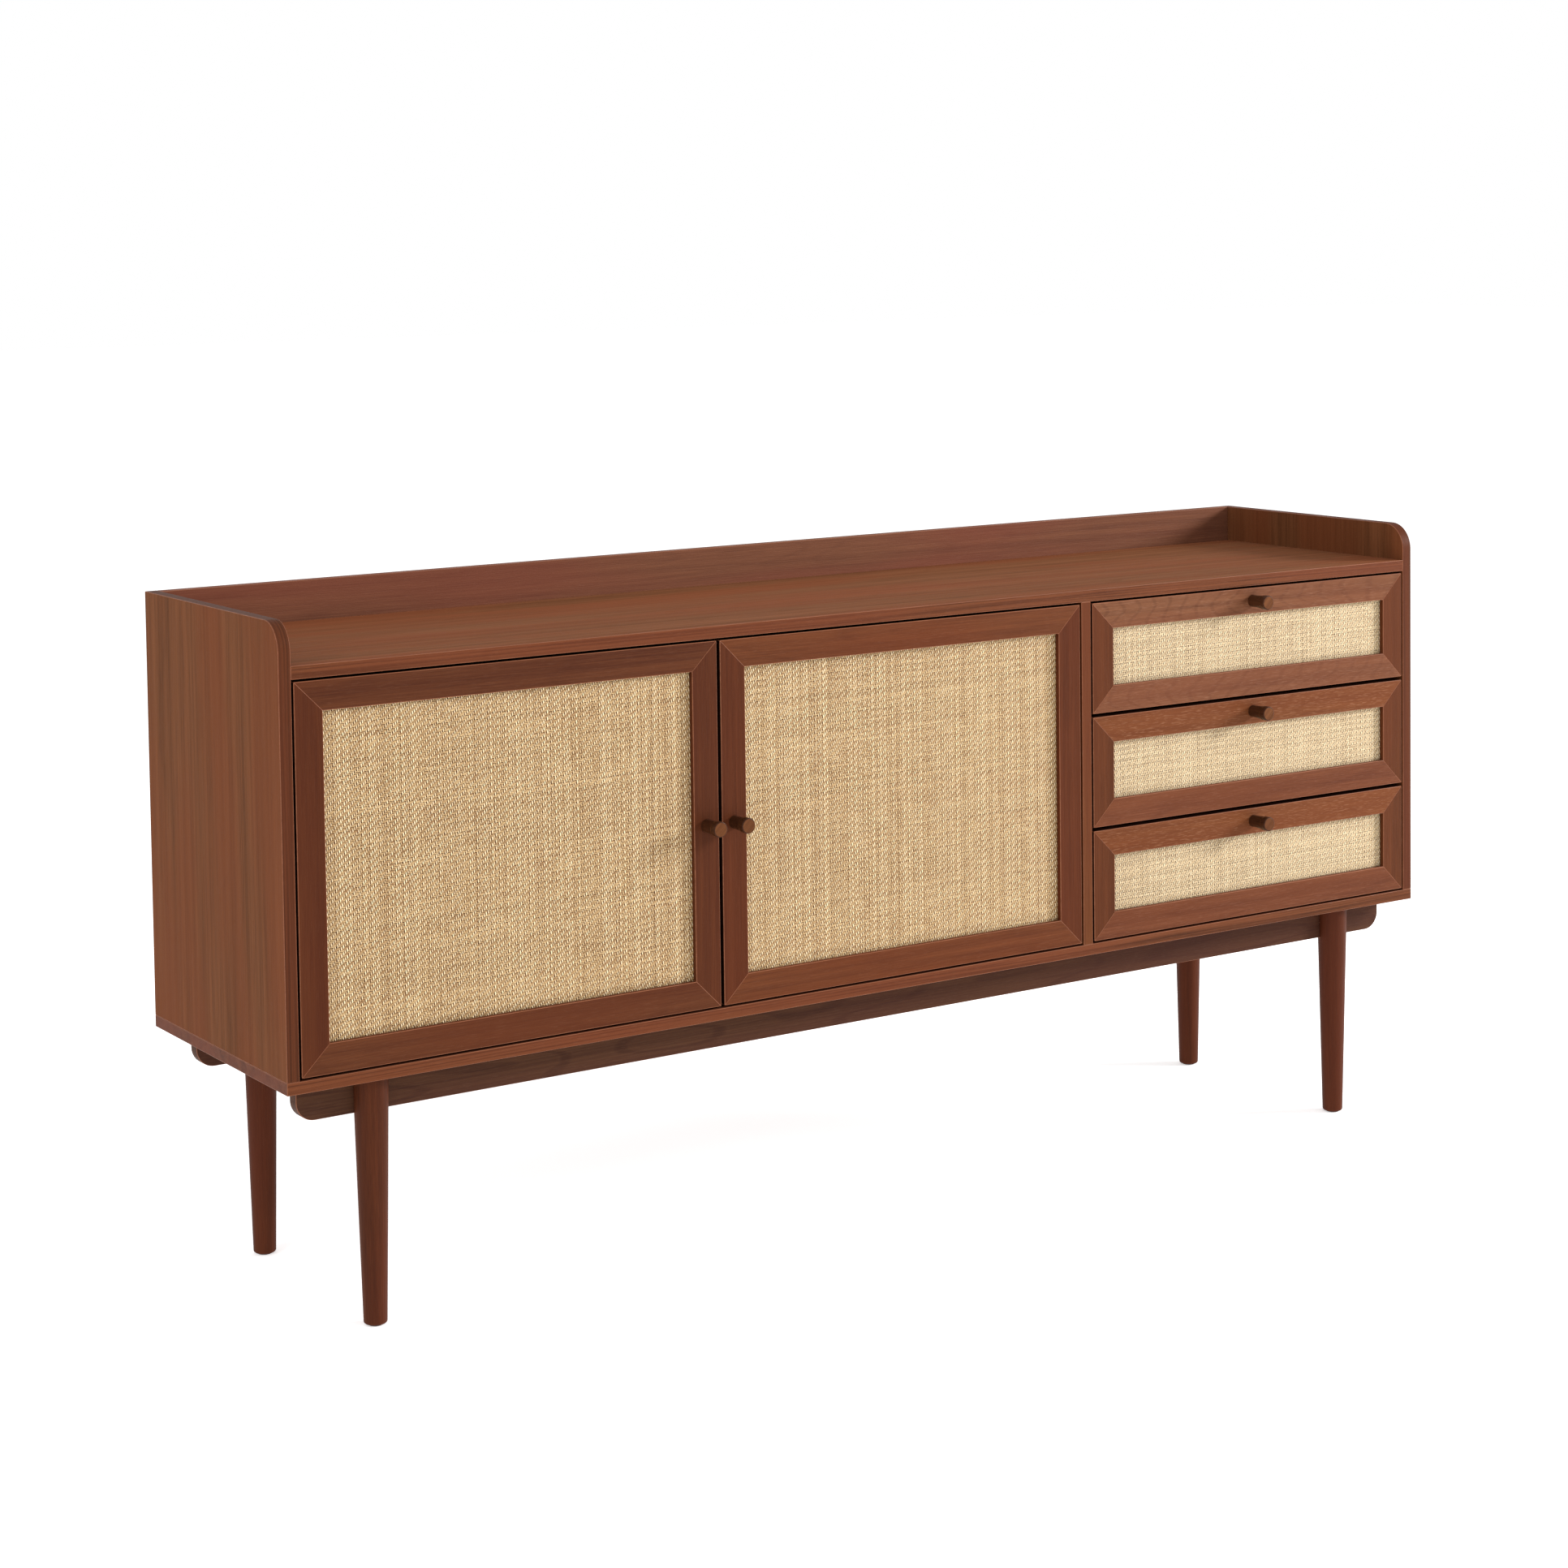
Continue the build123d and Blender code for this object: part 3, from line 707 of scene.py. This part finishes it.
boards = {  # the finish of each board's faces and of the edge that shows
    "side_left": ("sideVeneer", "sideBand"), "side_right": ("sideVeneer", "sideBand"),
    "top_panel": ("topVeneer", "boardBand"), "gallery_rail": ("railVeneer", None),
    "bottom_board": ("boardWood", "boardBand"), "divider": ("uprightVeneer", None),
    "center_partition": ("innerVeneer", None), "shelf_left": ("innerVeneer", None),
    "shelf_right": ("innerVeneer", None), "front_apron": ("apronWood", None),
    "rear_apron": ("apronWood", None),
}
boardSlots = {"innerVeneer": "inner_board", "apronWood": "solid_walnut"}
boxFinishes = {"_box_sides": "birchSide", "_box_back": "birchBack", "_box_bottom": "birchFloor"}
for node, (finish, band) in boards.items():
    work(node, finish, easing["board"], boardSlots.get(finish, "walnut_veneer"), band)
for node in ("leg_front_left", "leg_front_right", "leg_rear_left", "leg_rear_right"):
    work(node, "legWood", easing["leg"], "solid_walnut")
for drawer in drawers:
    work(drawer + "_front_board", "stainedPly", easing["box"], "stained_ply")
    for part, finish in boxFinishes.items():
        work(drawer + part, finish, easing["box"], "drawer_ply")
print("boards, legs and drawer boxes worked")


def stickOf(point, low, high):  # the nearest side of the frame owns the point
    reach = {"left": point.x - low.x, "right": high.x - point.x,
             "bottom": point.z - low.z, "top": high.z - point.z}
    return min(reach, key=reach.get)


# the finishes of each frame's stiles, top rail and bottom rail
frameFinishes = {
    "door_left": ("leftDoorStile", "leftDoorRail", "leftDoorRail"),
    "door_right": ("rightDoorStile", "rightDoorRail", "rightDoorRail"),
    "drawer_top": ("drawerStile", "figuredRail", "figuredRail"),
    "drawer_middle": ("drawerStile", "drawerTopRail", "drawerRail"),
    "drawer_bottom": ("drawerStile", "drawerTopRail", "drawerRail"),
}


def mitredFrame(front):  # each of the four sticks is taken out of the frame's node by itself
    node = front + "_frame"
    low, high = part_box(node)
    stile, topRail, bottomRail = frameFinishes[front]
    for side, finish in (("left", stile), ("right", stile), ("bottom", bottomRail), ("top", topRail)):
        bm = solid(node)
        others = [face for face in bm.faces
                  if stickOf(face.calc_center_median() - face.normal * easing["inside"], low, high) != side]
        bmesh.ops.delete(bm, geom=others, context="FACES")
        for face in bm.faces:  # the faces that look into the gap get painted shade: a near-black finish that stands for the shadow in the gap
            spot = face.calc_center_median()
            toRim = min(spot.x - low.x, high.x - spot.x, spot.z - low.z, high.z - spot.z)
            square = abs(face.normal.y) < pointing["across"]
            face.material_index = int(square and toRim < easing["rimDepth"])
        # the last finish, a painted highlight, goes on the eased edges and mitre lines
        materials = [finishes[name] for name in (finish, "paintedGapShade", "paintedEdgeHighlight")]
        piece = eased(f"{front}_stick_{side}", bm, easing["stick"], materials, easing["mitre"])
        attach(piece, front)
        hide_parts(node)


for front in fronts:
    mitredFrame(front)
print("frames worked")


knobShape = {  # distance from the frame's face and radius, in millimetres, from the spigot outwards
    "outline": [(8.0, 0.0), (8.0, 4.0), (0.0, 4.0), (0.0, 8.4), (-6.0, 8.34), (-12.0, 8.5),
                (-18.0, 8.95), (-22.0, 9.5), (-24.5, 10.0), (-24.5, 8.6), (-26.0, 8.6),
                (-26.0, 10.0), (-33.1, 10.0), (-34.0, 9.1), (-34.0, 0.0)],
    "sides": 56,
}


def turnedKnob(front):
    node = front + "_knob"
    low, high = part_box(node)
    millimetre = 0.001
    spigot = knobShape["outline"][0][0] * millimetre
    centre = Vector(((low.x + high.x) / 2, high.y - spigot, (low.z + high.z) / 2))
    bm = bmesh.new()
    rings = []
    for depth, radius in knobShape["outline"]:  # depth is negative outwards, along -Y
        ring = []
        for step in range(knobShape["sides"] if radius else 1):
            angle = 2 * math.pi * step / knobShape["sides"]
            spot = Vector((radius * math.cos(angle), depth, radius * math.sin(angle)))
            ring.append(bm.verts.new(centre + spot * millimetre))
        rings.append(ring)
    for first, second in zip(rings, rings[1:]):
        count = max(len(first), len(second))
        for step in range(count):
            after = (step + 1) % count
            corners = [first[step % len(first)], first[after % len(first)],
                       second[after % len(second)], second[step % len(second)]]
            bm.faces.new(list(dict.fromkeys(corners)))
    bmesh.ops.recalc_face_normals(bm, faces=bm.faces)
    for face in bm.faces:
        face.material_index = int(face.normal.y < pointing["knobEnd"])
    piece = eased(front + "_turned_knob", bm, easing["knob"],
                  [finishes["knobWood"], finishes["knobFace"], finishes["knobWood"]])
    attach(piece, front)
    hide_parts(node)


for front in fronts:
    turnedKnob(front)
print("knobs turned")


# hidden and small pieces stay as they are and only get a finish
keptFinishes = {"back_panels": "backSheet", "floor_glides": "blackPlastic",
                "magnet_catches": "blackPlastic"}
for node in ("shelf_pins", "leg_bolts", "base_screws", "cam_fittings", "hinge_arms",
             "runner_channels"):
    keptFinishes[node] = "zincSteel"
for door in doors:
    keptFinishes[door + "_backing"] = "stainedPly"
    keptFinishes[door + "_hinge_cups"] = keptFinishes[door + "_strike"] = "zincSteel"
for drawer in drawers:
    keptFinishes[drawer + "_runners"] = "zincSteel"
for node, finish in keptFinishes.items():
    mesh = nodes[node].data
    mesh.materials.clear()
    mesh.materials.append(finishes[finish])
print("CAD pieces finished:", len(keptFinishes))


studio = {
    "floor": (250, 250, 250),
    "floorCloud": (246, 246, 247),
    "floorGlow": 0.5,
    "floorReach": 30.0,
    "aim": (0, 0, 0.5),      # where the lamps point
    "worldLight": 0.7,
    "keyPower": 440.0, "keyPlace": (5.5, -2.9, 2.6), "keySize": 1.6,
    "fillPower": 40.0, "fillPlace": (-4.0, -1.2, 2.0), "fillSize": 2.6,
    "topPower": 20.0, "topPlace": (0.0, -1.0, 3.6), "topSize": 3.0,
}


def makeFloor():
    mesh = bpy.data.meshes.new("studioFloor")
    reach = studio["floorReach"]
    mesh.from_pydata([(-reach, -reach, 0), (reach, -reach, 0), (reach, reach, 0), (-reach, reach, 0)],
                     [], [(0, 1, 2, 3)])
    material, tree = newFinish("studioFloor")
    cloud = tree.noise(tree.spot(), scale=1.5)
    colour = tree.mix(cloud * 0.3, tint(*studio["floor"]), tint(*studio["floorCloud"]))
    shade(tree, colour, 0.9, fixed={"Specular IOR Level": 0.0, "Emission Color": (1, 1, 1, 1),
                                    "Emission Strength": studio["floorGlow"]})
    mesh.materials.append(material)
    floor = bpy.data.objects.new("studioFloor", mesh)
    scene.collection.objects.link(floor)


def makeLight(name, place, size, power):
    lamp = bpy.data.lights.new(name, "AREA")
    lamp.shape, lamp.size, lamp.energy = "DISK", size, power
    light = bpy.data.objects.new(name, lamp)
    light.location = place
    beam = Vector(studio["aim"]) - Vector(place)
    light.rotation_euler = beam.to_track_quat("-Z", "Y").to_euler()
    scene.collection.objects.link(light)


def makeWorld():  # the wall behind shows plain white, and the light it gives is softer
    world = bpy.data.worlds.new("studioWorld")
    world.use_nodes = True
    tree = Tree(world.node_tree)
    seen = tree.add("ShaderNodeLightPath", output="Is Camera Ray")
    strength = studio["worldLight"] + seen * (1 - studio["worldLight"])
    glow = tree.add("ShaderNodeBackground", {}, {"Color": (1, 1, 1, 1), "Strength": strength})
    tree.add("ShaderNodeOutputWorld", {}, {"Surface": glow})
    scene.world = world


makeFloor()
for name in ("key", "fill", "top"):
    makeLight(name + "Light", studio[name + "Place"], studio[name + "Size"], studio[name + "Power"])
makeWorld()
scene.view_settings.view_transform = "Standard"

viewpoint = {
    "place": (-2.39905, -3.53465, 1.3153),
    "heading": 33.3132,      # degrees to the right of straight at the front
    "tilt": 3.3839,          # degrees down
    "roll": 0.7323,
    "lens": 72.553,
    "sensor": 36.0,
    "rise": -0.24,
    "farClip": 100.0,
}


def makeCamera():
    camera = bpy.data.objects.new("camera", bpy.data.cameras.new("camera"))
    turns = [Matrix.Rotation(math.radians(angle), 4, axis) for angle, axis in (
        (-viewpoint["heading"], "Z"), (90 - viewpoint["tilt"], "X"), (-viewpoint["roll"], "Z"))]
    camera.matrix_world = Matrix.Translation(viewpoint["place"]) @ turns[0] @ turns[1] @ turns[2]
    camera.data.sensor_width = viewpoint["sensor"]
    camera.data.lens = viewpoint["lens"]
    camera.data.shift_y = viewpoint["rise"]
    camera.data.clip_end = viewpoint["farClip"]
    scene.collection.objects.link(camera)
    scene.camera = camera


makeCamera()
print("studio set")
